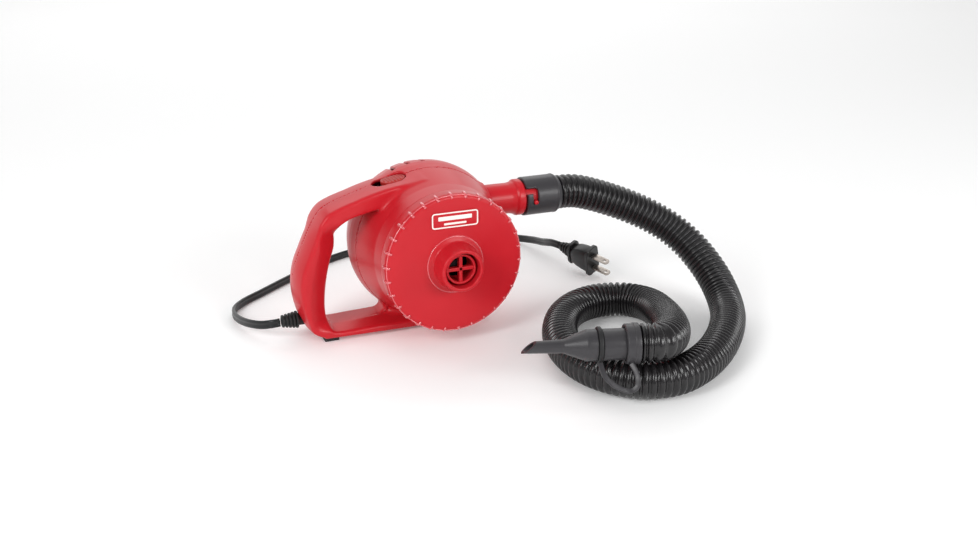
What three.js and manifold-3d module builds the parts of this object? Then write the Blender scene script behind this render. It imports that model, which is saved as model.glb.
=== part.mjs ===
// Electric air mattress pump: a drum-shaped blower with a D handle, a bayonet hose and a mains lead.
// Millimetres, +Z up, X along the pump (handle at -X, outlet at +X), Y along the motor shaft with the
// fan cover facing -Y. The origin is on the floor, below the middle of the drum.
import * as THREE from 'three';
import { mergeVertices } from 'three/addons/utils/BufferGeometryUtils.js';
import Module from 'manifold-3d';

const wasm = await Module();
wasm.setup();

// ---------- driving dimensions ----------
const AXIS_Z = 67;            // height of the motor shaft
const WALL = 2.5;             // moulded wall
const GAP = 0.3;              // between pieces that touch
const SPLIT = 0.15;           // half the gap between the two housing halves

const COVER_BACK_Y = -44;
const COVER_FACE_Y = -58;
const COVER_R = 55.3;
const BACK_Y = 51;
const DRUM_SKIN = [           // [radius, y] from behind the fan cover, over the raised middle, to the back
  [54, COVER_BACK_Y], [55, -26], [56.4, -20], [58.6, -17], [60.4, 0], [62.6, 15], [62.6, 20], [59, 34],
  [50, 45], [34, BACK_Y],
];

const COLLAR_TIP_Y = -76;
const COLLAR_BASE_R = 19;
const COLLAR_TIP_R = 16.6;
const COLLAR_BORE_R = 13.7;
const GRIP_RIBS = 30;

const HANDLE_HALF = 19;       // half width of the handle and the base
const BASE_Z = 2;             // underside of the shell; the feet stand below it
const BASE_TOP_Z = 10;
const FEET = [[-93.5, -82], [-6, 30]];   // [x, x] of the rubber pads in the base

const OUTLET_Z = 95.5;
const OUTLET_R = 12.8;
const OUTLET_BORE_R = 10.6;
const OUTLET_FLANGE_X = 75;
const SPIGOT_END_X = 98;
const CUFF_START_X = 80;
const CUFF_END_X = 112;
const CUFF_R = 15.9;
const PIN_X = 87.3;
const PIN_R = 1.8;
const PIN_ANGLE = -6;         // degrees above -Y, seen along the outlet
const TWIST = 36;             // degrees from the locked pin to the way out of the slot

const GLAND_Z = 16.8;         // height of the hole where the mains lead leaves the handle
const HOSE_R = 14;
const HOSE_BORE_R = 11.4;
const CORD_R = 3.5;

const IMPELLER_R = 46;
const SHAFT_R = 3;

// ---------- colours ----------
const finish = (color, roughness, metalness = 0) =>
  new THREE.MeshStandardMaterial({ color, roughness, metalness });
const redPlastic = finish(0xcd323a, 0.3);
const orangePlastic = finish(0xd8452f, 0.4);
const blackRubber = finish(0x2a292b, 0.75);
const darkPlastic = finish(0x47474a, 0.45);
const whitePlastic = finish(0xe6dcd4, 0.4);
const blackPlastic = finish(0x1d1d1f, 0.5);
const fanPlastic = finish(0x33363a, 0.5);
const steel = finish(0xa7a9ac, 0.35, 1);
const lamination = finish(0x6c6f73, 0.5, 0.9);
const copper = finish(0xb66a3a, 0.35, 1);
const brass = finish(0xc2a35a, 0.35, 1);
const carbon = finish(0x2f2f31, 0.7);
const nickel = finish(0xb4aaa0, 0.3, 1);

// ---------- solids ----------
const pump = new THREE.Group();

function solid(geometry) {
  const bare = geometry.index ? geometry.toNonIndexed() : geometry.clone();
  bare.deleteAttribute('normal');
  bare.deleteAttribute('uv');
  const merged = mergeVertices(bare, 1e-4);
  const mesh = new wasm.Mesh({
    numProp: 3,
    vertProperties: new Float32Array(merged.attributes.position.array),
    triVerts: new Uint32Array(merged.index.array),
  });
  return new wasm.Manifold(mesh);
}

function toGeometry(manifold) {
  const mesh = manifold.getMesh();
  const geometry = new THREE.BufferGeometry();
  geometry.setAttribute('position', new THREE.BufferAttribute(mesh.vertProperties, 3));
  geometry.setIndex(new THREE.BufferAttribute(mesh.triVerts, 1));
  geometry.computeVertexNormals();
  return geometry;
}

const joined = (solids) => solids.reduce((whole, piece) => whole.add(piece));
const without = (body, tools) => tools.reduce((rest, tool) => rest.subtract(tool), body);

function add(name, shape, material) {
  const geometry = shape.isBufferGeometry ? shape : toGeometry(shape);
  const mesh = new THREE.Mesh(geometry, material);
  mesh.name = name;
  pump.add(mesh);
  return mesh;
}

function box(x0, x1, y0, y1, z0, z1) {
  const geometry = new THREE.BoxGeometry(x1 - x0, y1 - y0, z1 - z0);
  geometry.translate((x0 + x1) / 2, (y0 + y1) / 2, (z0 + z1) / 2);
  return solid(geometry);
}

// A turned piece about the shaft line: [radius, y] pairs that close on themselves or on the axis.
function turned(profile, segments) {
  const points = profile.map(([r, y]) => new THREE.Vector2(r, y));
  if (THREE.ShapeUtils.area(points) < 0) points.reverse();
  if (profile[0][0] > 0) points.push(points[0].clone());
  const geometry = new THREE.LatheGeometry(points, segments);
  geometry.translate(0, 0, AXIS_Z);
  return solid(geometry);
}

// A rod or tube between two points.
function rod(from, to, r0, r1 = r0, sides = 16) {
  const a = new THREE.Vector3(...from);
  const b = new THREE.Vector3(...to);
  const along = b.clone().sub(a);
  const geometry = new THREE.CylinderGeometry(r1, r0, along.length(), sides);
  const turn = new THREE.Quaternion().setFromUnitVectors(
    new THREE.Vector3(0, 1, 0), along.clone().normalize());
  geometry.applyQuaternion(turn);
  const middle = a.add(b).multiplyScalar(0.5);
  geometry.translate(middle.x, middle.y, middle.z);
  return solid(geometry);
}

const alongY = (x, z, y0, y1, r, sides = 16) => rod([x, y0, z], [x, y1, z], r, r, sides);
const alongX = (z, x0, x1, r0, r1 = r0, sides = 18) => rod([x0, 0, z], [x1, 0, z], r0, r1, sides);

// An outline in the XZ plane, [x, z] pairs, made into a plate between two y values.
function plate(outline, y0, y1, bevel = 0, hole = null) {
  const shape = new THREE.Shape(outline.map(([x, z]) => new THREE.Vector2(x, z)));
  if (hole) shape.holes.push(new THREE.Path(hole.map(([x, z]) => new THREE.Vector2(x, z))));
  const geometry = new THREE.ExtrudeGeometry(shape, {
    depth: y1 - y0 - 2 * bevel,
    bevelEnabled: bevel > 0,
    bevelThickness: bevel,
    bevelSize: bevel,
    bevelOffset: -bevel,
    bevelSegments: 1,
    curveSegments: 6,
  });
  geometry.rotateX(Math.PI / 2);
  geometry.translate(0, y1 - bevel, 0);
  return solid(geometry);
}

// ---------- handle and base outline ----------
// Hand-set corners of the D handle seen from the front, joined by a smooth closed curve.
const HANDLE_CORNERS = [
  [-84, BASE_Z], [-95, 3.6], [-103.5, 9], [-109, 20], [-112.6, 34], [-113.4, 48], [-111.5, 60],
  [-106.5, 73], [-100.5, 86], [-94, 98], [-87.5, 105.4], [-78, 110], [-66, 113.8], [-50, 118.6],
  [-34, 121.9], [-18, 123.5], [-6, 122.8], [2, 100], [20, 50], [44, 30], [43, 12], [36, BASE_Z],
];
const HAND_HOLE = [
  [-32, 106.8], [-46, 104.4], [-62, 101], [-71, 98.4], [-77.5, 94], [-80.3, 87], [-80.4, 80.5],
  [-81.2, 73.5], [-84.3, 63.5], [-87.1, 52], [-89.1, 40], [-90, 28], [-89.4, 17.5], [-86.5, 12],
  [-80, BASE_TOP_Z], [-38, BASE_TOP_Z], [-33, 14], [-35, 26], [-40, 40], [-36, 70],
];

// Moves a closed outline by a distance along its corners' normals; positive is to the left of travel.
function shifted(outline, distance) {
  return outline.map((corner, i) => {
    const before = outline[(i + outline.length - 1) % outline.length];
    const after = outline[(i + 1) % outline.length];
    const a = new THREE.Vector2(corner[0] - before[0], corner[1] - before[1]).normalize();
    const b = new THREE.Vector2(after[0] - corner[0], after[1] - corner[1]).normalize();
    const normal = new THREE.Vector2(-a.y - b.y, a.x + b.x).normalize();
    const reach = distance / Math.max(0.5, normal.dot(new THREE.Vector2(-a.y, a.x)));
    return [corner[0] + normal.x * reach, corner[1] + normal.y * reach];
  });
}

// ---------- housing ----------
function drumProfile(inset) {
  const front = inset ? COVER_BACK_Y - 20 : COVER_BACK_Y;
  const skin = DRUM_SKIN.map(([r, y], i) => {
    const [r0, y0] = DRUM_SKIN[Math.max(0, i - 1)];
    const [r1, y1] = DRUM_SKIN[Math.min(DRUM_SKIN.length - 1, i + 1)];
    const span = Math.hypot(r1 - r0, y1 - y0);
    return [r - inset * (y1 - y0) / span, y + inset * (r1 - r0) / span];
  });
  const opening = inset ? [[skin[0][0], front]] : [];
  return [[0, front], ...opening, ...skin, [0, BACK_Y - inset]];
}

const SCREW_PLACES = [   // [x, z, head y, tip y] of the screws that close the housing
  [-89.5, 97.5, 15, -10],
  [-98.5, 15, 15, -10],
  [24.2, AXIS_Z + 48.3, 30, -12],
  [38.2, AXIS_Z - 38.2, 30, -12],
];
const MOTOR_SCREW_X = 33;
const VENT_START = 89;        // degrees around the shaft, from +X towards +Z
const VENT_PITCH = 11.5;
const SWITCH_X = -33;         // middle of the switch recess on the handle's sloping top
const SWITCH_Z = 121.9;
const SWITCH_TILT = THREE.MathUtils.degToRad(9);

function tilted(geometry) {
  geometry.rotateY(-SWITCH_TILT);
  geometry.translate(SWITCH_X, 0, SWITCH_Z);
  return geometry;
}

function tiltedBox(x0, x1, y0, y1, z0, z1) {
  const geometry = new THREE.BoxGeometry(x1 - x0, y1 - y0, z1 - z0);
  geometry.translate((x0 + x1) / 2, (y0 + y1) / 2, (z0 + z1) / 2);
  return solid(tilted(geometry));
}

function outerBody() {
  const frame = plate(HANDLE_CORNERS, -HANDLE_HALF, HANDLE_HALF, 3.5, HAND_HOLE);
  return frame.add(turned(drumProfile(0), 36));
}

function innerSpace() {
  const frame = plate(
    shifted(HANDLE_CORNERS, -WALL), -HANDLE_HALF + WALL, HANDLE_HALF - WALL, 2.5,
    shifted(HAND_HOLE, WALL));
  return frame.add(turned(drumProfile(WALL), 24));
}

function bosses() {
  const screwBosses = SCREW_PLACES.map(([x, z], i) => {
    const back = i < 2 ? HANDLE_HALF - 1 : BACK_Y - 4;
    return alongY(x, z, i < 2 ? -HANDLE_HALF + 1 : -16, back, 5, 8);
  });
  const motorBosses = [-1, 1].map((side) =>
    alongY(side * MOTOR_SCREW_X, AXIS_Z, 41, BACK_Y - 1, 4.5, 8));
  return joined([...screwBosses, ...motorBosses]);
}

function ventSlots() {
  const slots = [];
  for (let i = 0; i < 5; i++) {
    const angle = THREE.MathUtils.degToRad(VENT_START + i * VENT_PITCH);
    const slot = new THREE.BoxGeometry(3.2, 31, 20);
    slot.translate(0, 29.5, 62);
    slot.rotateY(Math.PI / 2 - angle);
    slot.translate(0, 0, AXIS_Z);
    slots.push(solid(slot));
  }
  return joined(slots);
}

function housingCuts() {
  const cuts = [ventSlots()];
  SCREW_PLACES.forEach(([x, z, head, tip]) => {
    cuts.push(alongY(x, z, tip - GAP, head + 1, 1.9, 6));
    cuts.push(alongY(x, z, head - 3, 60, 4.2, 8));
  });
  [-1, 1].forEach((side) => cuts.push(alongY(side * MOTOR_SCREW_X, AXIS_Z, 40, 47.5, 1.9, 6)));
  cuts.push(alongX(OUTLET_Z, 30, 70, OUTLET_R + GAP));
  cuts.push(alongX(OUTLET_Z, 30, 40, OUTLET_R + 2));
  cuts.push(tiltedBox(-13.8, 13.8, -8.6, 8.6, -3.2, 12));
  cuts.push(tiltedBox(-10.5, 6.5, -3.2, 3.2, -9, 0));
  cuts.push(rod([-120, 0, GLAND_Z], [-100, 0, GLAND_Z], 5.4, 5.4, 12));
  cuts.push(rod([-103.5, 0, GLAND_Z], [-99, 0, GLAND_Z], 6.8, 6.8, 12));
  FEET.forEach(([x0, x1]) => cuts.push(box(x0 - GAP, x1 + GAP, -15.3, 15.3, -1, BASE_Z + 0.9)));
  return cuts;
}

const shell = without(outerBody(), [innerSpace()]).add(bosses().intersect(outerBody()));
const cutShell = without(shell, housingCuts());
const wholeRoom = (y0, y1) => box(-140, 90, y0, y1, -10, 160);
add('front_housing', cutShell.intersect(wholeRoom(-70, -SPLIT)), redPlastic);
add('rear_housing', cutShell.intersect(wholeRoom(SPLIT, 70)), redPlastic);

// ---------- fan cover, intake grille, name plate ----------
function fanCover() {
  const back = COVER_BACK_Y - GAP;
  const skirt = turned([
    [COLLAR_BORE_R, COVER_FACE_Y + WALL], [COLLAR_BORE_R, COVER_FACE_Y - 1],
    [COLLAR_BASE_R + 1.5, COVER_FACE_Y],
    [COVER_R - 1.6, COVER_FACE_Y], [COVER_R, COVER_FACE_Y + 1.6], [COVER_R - 0.2, back],
    [COVER_R - 3.2, back], [COVER_R - 3.2, COVER_FACE_Y + WALL],
  ], GRIP_RIBS);
  const collar = turned([
    [COLLAR_BORE_R, COVER_FACE_Y + WALL], [COLLAR_BORE_R, COLLAR_TIP_Y + 0.6],
    [COLLAR_BORE_R + 0.6, COLLAR_TIP_Y], [COLLAR_TIP_R - 0.6, COLLAR_TIP_Y],
    [COLLAR_TIP_R, COLLAR_TIP_Y + 0.8], [COLLAR_BASE_R - 1, COVER_FACE_Y - 3],
    [COLLAR_BASE_R + 0.6, COVER_FACE_Y], [COLLAR_BASE_R + 0.6, COVER_FACE_Y + WALL],
  ], 24);
  const ribs = [];
  for (let i = 0; i < GRIP_RIBS; i++) {
    const rib = new THREE.BoxGeometry(1.6, 8, 5);
    rib.translate(0, COVER_FACE_Y + 3.3, COVER_R - 1.8);
    rib.rotateY((i / GRIP_RIBS) * 2 * Math.PI);
    rib.translate(0, 0, AXIS_Z);
    ribs.push(solid(rib));
  }
  return joined([skirt, collar, ...ribs]);
}

const PLATE_AT = [0, AXIS_Z + 36];   // middle of the blank name plate on the cover's face
const PLATE_SIZE = [38, 13];

function roundedRectangle(width, height, radius) {
  const shape = new THREE.Shape();
  const x = width / 2;
  const y = height / 2;
  shape.moveTo(-x + radius, -y);
  shape.lineTo(x - radius, -y);
  shape.quadraticCurveTo(x, -y, x, -y + radius);
  shape.lineTo(x, y - radius);
  shape.quadraticCurveTo(x, y, x - radius, y);
  shape.lineTo(-x + radius, y);
  shape.quadraticCurveTo(-x, y, -x, y - radius);
  shape.lineTo(-x, -y + radius);
  shape.quadraticCurveTo(-x, -y, -x + radius, -y);
  return shape;
}

function namePlate() {
  const geometry = new THREE.ExtrudeGeometry(
    roundedRectangle(...PLATE_SIZE, 2.5), { depth: 0.8, bevelEnabled: false, curveSegments: 3 });
  geometry.rotateX(Math.PI / 2);
  geometry.translate(PLATE_AT[0], COVER_FACE_Y - GAP, PLATE_AT[1]);
  return solid(geometry);
}

function intakeGrille() {
  const ring = turned([
    [10.2, COVER_FACE_Y + WALL], [10.2, -71], [12, -71], [12, -61], [13.4, -61],
    [13.4, COVER_FACE_Y + WALL],
  ], 18);
  const across = box(-10.8, 10.8, -70, -66, AXIS_Z - 1.1, AXIS_Z + 1.1);
  const upright = box(-1.1, 1.1, -70, -66, AXIS_Z - 10.8, AXIS_Z + 10.8);
  return joined([ring, across, upright]);
}

add('fan_cover', fanCover(), redPlastic);
add('intake_grille', intakeGrille(), redPlastic);
add('name_plate', namePlate(), whitePlastic);

// ---------- feet ----------
FEET.forEach(([x0, x1], i) =>
  add(['foot_handle', 'foot_drum'][i], box(x0, x1, -15, 15, 0, BASE_Z + 0.6), blackRubber));

// ---------- outlet spout with its bayonet pins ----------
function aroundOutlet(angle, radius) {
  const turn = THREE.MathUtils.degToRad(angle);
  return [-radius * Math.cos(turn), OUTLET_Z + radius * Math.sin(turn)];
}

function outletSpout() {
  const body = [
    alongX(OUTLET_Z, 36, OUTLET_FLANGE_X, OUTLET_R),
    alongX(OUTLET_Z, 36, 39.5, OUTLET_R + 1.6),
    alongX(OUTLET_Z, OUTLET_FLANGE_X - 3, OUTLET_FLANGE_X, OUTLET_R, 15.4),
    alongX(OUTLET_Z, OUTLET_FLANGE_X, OUTLET_FLANGE_X + 4.5, 15.4, 14.8),
    alongX(OUTLET_Z, OUTLET_FLANGE_X + 4, SPIGOT_END_X, OUTLET_R),
  ];
  [PIN_ANGLE, PIN_ANGLE + 180].forEach((angle) => {
    const inner = aroundOutlet(angle, OUTLET_R - 1);
    const outer = aroundOutlet(angle, CUFF_R + 1);
    body.push(rod([PIN_X, ...inner], [PIN_X, ...outer], PIN_R, PIN_R, 12));
  });
  return without(joined(body), [alongX(OUTLET_Z, 30, SPIGOT_END_X + 1, OUTLET_BORE_R)]);
}

add('outlet_spout', outletSpout(), redPlastic);

// ---------- divider between the air chamber and the switch and brush end of the motor ----------
function dividerPlate() {
  const disc = turned([[36, 14.8], [36, 17], [59, 17], [59, 14.8]], 28);
  const cuts = SCREW_PLACES.slice(2).map(([x, z]) => alongY(x, z, 10, 20, 5.8, 8));
  return without(disc, cuts);
}

add('divider_plate', dividerPlate(), blackPlastic);

// ---------- motor ----------
const CORE_FRONT = -12;
const CORE_BACK = 18;

function fieldCore() {
  const ring = turned([[26, CORE_FRONT], [30, CORE_FRONT], [30, CORE_BACK], [26, CORE_BACK]], 24);
  const poles = [-1, 1].map((side) =>
    box(-9, 9, CORE_FRONT, CORE_BACK, AXIS_Z + Math.min(side * 14, side * 27),
      AXIS_Z + Math.max(side * 14, side * 27)));
  return without(joined([ring, ...poles]), [alongY(0, AXIS_Z, CORE_FRONT - 1, CORE_BACK + 1, 15.8, 20)]);
}

function fieldCoil(side) {
  const near = AXIS_Z + side * 17;
  const far = AXIS_Z + side * 21;
  const frame = box(-14, 14, CORE_FRONT - 5, CORE_BACK + 5, Math.min(near, far), Math.max(near, far));
  return without(frame, [box(-9.4, 9.4, CORE_FRONT - GAP, CORE_BACK + GAP, 0, 140)]);
}

function motorBracket(y0, y1, bossY0, bossY1) {
  const bar = box(-38, 38, y0, y1, AXIS_Z - 7, AXIS_Z + 7);
  const boss = alongY(0, AXIS_Z, bossY0, bossY1, 10, 12);
  const cuts = [alongY(0, AXIS_Z, -60, 60, 7 + 2 * GAP, 12)];
  [-1, 1].forEach((side) => cuts.push(alongY(side * MOTOR_SCREW_X, AXIS_Z, -60, 60, 1.9, 6)));
  return without(joined([bar, boss]), cuts);
}

function bearing(y0, y1) {
  return turned([[SHAFT_R + GAP, y0], [7, y0], [7, y1], [SHAFT_R + GAP, y1]], 12);
}

add('motor_field_core', fieldCore(), lamination);
add('field_coil_upper', fieldCoil(1), copper);
add('field_coil_lower', fieldCoil(-1), copper);
add('motor_front_bracket', motorBracket(-24, -21.5, -24, -20), steel);
add('motor_rear_bracket', motorBracket(38, 40.5, 37, 42.5), steel);
add('front_bearing', bearing(-23.8, -20.2), brass);
add('rear_bearing', bearing(37.2, 42.3), brass);

[-1, 1].forEach((side, i) => {
  const head = rod([side * MOTOR_SCREW_X, -26.5, AXIS_Z], [side * MOTOR_SCREW_X, -24.3, AXIS_Z], 3, 3, 8);
  const shank = alongY(side * MOTOR_SCREW_X, AXIS_Z, -24.4, 47, 1.4, 6);
  add(`motor_screw_${i + 1}`, head.add(shank), steel);
});

// Rotor: everything that turns with the shaft.
add('motor_shaft', alongY(0, AXIS_Z, -52, 44, SHAFT_R - 0.1, 12), steel);

function armatureCore() {
  const body = turned([
    [SHAFT_R + 0.02, CORE_FRONT], [15, CORE_FRONT], [15, CORE_BACK], [SHAFT_R + 0.02, CORE_BACK]], 24);
  return without(body, armatureSlots(2.6, 1));
}

function armatureSlots(width, spare) {
  const slots = [];
  for (let i = 0; i < 6; i++) {
    const slot = new THREE.BoxGeometry(width, CORE_BACK - CORE_FRONT + 2 * spare, 8);
    slot.translate(0, (CORE_BACK + CORE_FRONT) / 2, 11.5);
    slot.rotateY((i / 6) * 2 * Math.PI);
    slot.translate(0, 0, AXIS_Z);
    slots.push(solid(slot));
  }
  return slots;
}

function armatureWindings() {
  const front = turned([
    [5, -12.4], [5, -17], [9, -18.5], [13, -16.5], [14.2, -12.4]], 12);
  const back = turned([
    [5, 18.4], [14.2, 18.4], [13, 22.5], [9, 24], [5, 23]], 12);
  const bars = armatureSlots(2, 1.5).map((bar) =>
    bar.intersect(turned([[8, -14], [8, 20], [14.6, 20], [14.6, -14]], 12)));
  return joined([front, back, ...bars]);
}

function impeller() {
  const disc = turned([[SHAFT_R + 0.02, -32], [SHAFT_R + 0.02, -48], [7, -48], [9, -34], [IMPELLER_R, -33.4],
    [IMPELLER_R, -32]], 24);
  const blades = [];
  for (let i = 0; i < 8; i++) {
    const start = (i / 8) * 2 * Math.PI;
    const outer = [];
    const inner = [];
    for (let step = 0; step <= 3; step++) {
      const radius = 13 + (IMPELLER_R - 14.5) * (step / 3);
      const angle = start + 0.9 * (step / 3) ** 1.2;
      outer.push([radius * Math.cos(angle), AXIS_Z + radius * Math.sin(angle)]);
      const behind = angle + 1.6 / radius;
      inner.unshift([radius * Math.cos(behind), AXIS_Z + radius * Math.sin(behind)]);
    }
    blades.push(plate([...outer, ...inner], -50, -33));
  }
  return joined([disc, ...blades]);
}

function commutator() {
  return turned([
    [SHAFT_R + 0.02, 26], [9, 26], [9, 27], [8, 27], [8, 35.5], [SHAFT_R + 0.02, 35.5]], 16);
}

function impellerNut() {
  return turned([[SHAFT_R + 0.6, -51.6], [5.4, -51.6], [5.4, -48.3], [SHAFT_R + 0.6, -48.3]], 6);
}

const rotor = [
  ['armature_core', armatureCore(), lamination],
  ['armature_windings', armatureWindings(), copper],
  ['commutator', commutator(), copper],
  ['impeller', impeller(), fanPlastic],
  ['impeller_nut', impellerNut(), steel],
];
rotor.forEach(([name, shape, material]) => add(name, shape, material));

// Brushes on both sides of the commutator, each in a holder with a spring behind it.
const BRUSH_Y = 31;
function brushSpring(side) {
  const coil = new THREE.CatmullRomCurve3(Array.from({ length: 19 }, (_, i) => {
    const angle = (i / 18) * 3 * 2 * Math.PI;
    return new THREE.Vector3(side * (19.4 + i * 0.27), BRUSH_Y + 1.9 * Math.cos(angle),
      AXIS_Z + 1.9 * Math.sin(angle));
  }));
  const wire = new THREE.Shape([[0.35, 0], [0, 0.35], [-0.35, 0], [0, -0.35]].map(([x, y]) =>
    new THREE.Vector2(x, y)));
  return solid(new THREE.ExtrudeGeometry(wire, { steps: 18, extrudePath: coil, bevelEnabled: false }));
}

[-1, 1].forEach((side) => {
  const name = side < 0 ? 'left' : 'right';
  const span = (a, b) => [Math.min(side * a, side * b), Math.max(side * a, side * b)];
  const holder = box(...span(12, 27), BRUSH_Y - 4.4, BRUSH_Y + 4.4, AXIS_Z - 4.4, AXIS_Z + 4.4);
  const bore = box(...span(11, 25.5), BRUSH_Y - 3, BRUSH_Y + 3, AXIS_Z - 3, AXIS_Z + 3);
  add(`brush_holder_${name}`, without(holder, [bore]), brass);
  const brush = box(...span(8.3, 18.6), BRUSH_Y - 2.7, BRUSH_Y + 2.7, AXIS_Z - 2.7, AXIS_Z + 2.7);
  add(`carbon_brush_${name}`, brush, carbon);
  add(`brush_spring_${name}`, brushSpring(side), steel);
});

// ---------- screws that close the housing ----------
SCREW_PLACES.forEach(([x, z, head, tip], i) => {
  const cap = alongY(x, z, head - 2.6, head, 3.6, 8);
  add(`housing_screw_${i + 1}`, cap.add(alongY(x, z, tip, head - 2, 1.5, 6)), steel);
});

// ---------- switch ----------
function switchSlider() {
  const pad = tiltedBox(-6.4, 13.4, -8.1, 8.1, -2.8, 0.3);
  const stem = tiltedBox(0.6, 5.4, -2.6, 2.6, -7.6, -2);
  const ribs = Array.from({ length: 6 }, (_, i) =>
    tiltedBox(-3.6 + i * 2.6, -2.3 + i * 2.6, -6.6, 6.6, -0.1, 1.2));
  return joined([pad, stem, ...ribs]);
}

add('switch_slider', switchSlider(), orangePlastic);
add('switch_block', without(
  tiltedBox(-13, 13, -7, 7, -15.5, -6.2), [tiltedBox(-9.6, 9.6, -3, 3, -8.4, -5)]), blackPlastic);

// ---------- mains lead: gland, clamp, lead, plug ----------
const LEAD_ROUTE = [
  [-125.1, 0, 16.2], [-131, 0.8, 15.6], [-138, 7.5, 13.2], [-145, 20.4, 10.6], [-149.5, 38, 7.6],
  [-150.4, 57, 5.2], [-146.5, 73, 4], [-136.5, 86, 3.7], [-120, 99.5, 3.7], [-104, 113, 3.7],
  [-87, 127, 3.7], [-64, 146, 3.7], [-37, 164, 3.7], [-10, 175, 3.7], [22, 181, 3.7], [56, 182, 3.7],
  [88, 178.5, 3.7], [115, 170, 3.7], [134, 158, 3.9], [145.5, 141, 6.2], [149.2, 121, 10.4],
  [148, 101, 15.2], [146.6, 87, 19.4], [147.3, 76.6, 21.9], [150.3, 68.7, 21.8],
];
const PLUG_AT = [166.8, 33.3, 16];   // middle of the plug's face, where the blades come out
const PLUG_BEARING = THREE.MathUtils.degToRad(-65);
const PLUG_PITCH = THREE.MathUtils.degToRad(-8.5);
const PLUG_ROLL = THREE.MathUtils.degToRad(20);

const ngon = (radius, sides) => Array.from({ length: sides }, (_, i) => new THREE.Vector2(
  radius * Math.cos((i / sides) * 2 * Math.PI), radius * Math.sin((i / sides) * 2 * Math.PI)));

function tube(route, radius, sides, steps, boreRadius = 0) {
  const curve = new THREE.CatmullRomCurve3(route.map((p) => new THREE.Vector3(...p)));
  const section = new THREE.Shape(ngon(radius, sides));
  if (boreRadius) section.holes.push(new THREE.Path(ngon(boreRadius, 6)));
  return new THREE.ExtrudeGeometry(section, { steps, extrudePath: curve, bevelEnabled: false });
}

function strainRelief() {
  const pieces = [rod([-102, 0, GLAND_Z], [-124.2, 0, GLAND_Z - 0.6], 4.9, 4, 10)];
  for (let i = 0; i < 5; i++) {
    const x = -111.4 - i * 2.7;
    const r = 6.9 - i * 0.45;
    pieces.push(rod([x, 0, GLAND_Z - i * 0.1], [x - 1.5, 0, GLAND_Z - i * 0.1], r, r, 10));
  }
  pieces.push(rod([-103.2, 0, GLAND_Z], [-101.3, 0, GLAND_Z], 6.3, 6.3, 10));
  return joined(pieces);
}

add('strain_relief', strainRelief(), blackRubber);
add('cord_clamp', box(-99.5, -94.5, -9, 9, GLAND_Z + 5.2, GLAND_Z + 7.6), darkPlastic);
add('power_cord', tube(LEAD_ROUTE, CORD_R, 8, 44), blackPlastic);

// The plug is built along +X with its face at 0 and then laid down.
function laidPlug(geometry) {
  geometry.rotateX(PLUG_ROLL);
  geometry.rotateY(-PLUG_PITCH);
  geometry.rotateZ(PLUG_BEARING);
  geometry.translate(...PLUG_AT);
  return solid(geometry);
}

// A block with an almost rectangular section, which may taper towards its back.
const flattened = (unit) => THREE.MathUtils.clamp(unit * 1.12, -1, 1);

function plugBlock(x0, x1, halfY, halfZ, backHalfY = halfY, backHalfZ = halfZ) {
  const geometry = new THREE.CylinderGeometry(1, 1, x1 - x0, 12);
  geometry.rotateZ(-Math.PI / 2);
  geometry.translate((x0 + x1) / 2, 0, 0);
  const place = geometry.attributes.position;
  for (let i = 0; i < place.count; i++) {
    const t = (place.getX(i) - x0) / (x1 - x0);
    place.setY(i, flattened(place.getY(i)) * THREE.MathUtils.lerp(backHalfY, halfY, t));
    place.setZ(i, flattened(place.getZ(i)) * THREE.MathUtils.lerp(backHalfZ, halfZ, t));
  }
  return laidPlug(geometry);
}

const plugParts = [
  plugBlock(-3.5, 0, 8.2, 14.2),
  plugBlock(-22, -3, 8, 12.2, 6.5, 8),
  plugBlock(-24.5, -21.5, 7.4, 11),
  plugBlock(-38.5, -24, 5.6, 6.8, 4, 4.4),
];
add('plug_body', joined(plugParts), blackPlastic);
[-1, 1].forEach((side, i) => {
  const blade = new THREE.BoxGeometry(17.5, 6.35, 1.5);
  blade.translate(17.5 / 2 + GAP, 0, side * 6.35);
  add(`plug_blade_${i + 1}`, laidPlug(blade), nickel);
});

// ---------- hose cuff with its bayonet slots ----------
function slotCut(angle) {
  const start = THREE.MathUtils.degToRad(angle);
  const pieces = [];
  for (let i = 0; i <= 4; i++) {
    const turn = start + THREE.MathUtils.degToRad(TWIST) * (i / 4);
    const cut = new THREE.BoxGeometry(4.6, 12, 4.6);
    cut.translate(PIN_X, -CUFF_R, 0);
    cut.rotateX(-turn);
    cut.translate(0, 0, OUTLET_Z);
    pieces.push(solid(cut));
  }
  const entry = new THREE.BoxGeometry(PIN_X - CUFF_START_X + 4, 12, 4.6);
  entry.translate((PIN_X + CUFF_START_X - 4) / 2, -CUFF_R, 0);
  entry.rotateX(-(start + THREE.MathUtils.degToRad(TWIST)));
  entry.translate(0, 0, OUTLET_Z);
  pieces.push(solid(entry));
  return joined(pieces);
}

function hoseCuff() {
  const outer = joined([
    alongX(OUTLET_Z, CUFF_START_X, CUFF_END_X - 3, CUFF_R),
    alongX(OUTLET_Z, CUFF_END_X - 3, CUFF_END_X, CUFF_R, CUFF_R - 1.8),
  ]);
  const bore = alongX(OUTLET_Z, CUFF_START_X - 1, SPIGOT_END_X + 2, OUTLET_R + 0.5);
  const throat = alongX(OUTLET_Z, SPIGOT_END_X, CUFF_END_X + 1, HOSE_BORE_R);
  return without(outer, [bore, throat, slotCut(PIN_ANGLE), slotCut(PIN_ANGLE + 180)]);
}

add('hose_cuff', hoseCuff(), darkPlastic);

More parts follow.
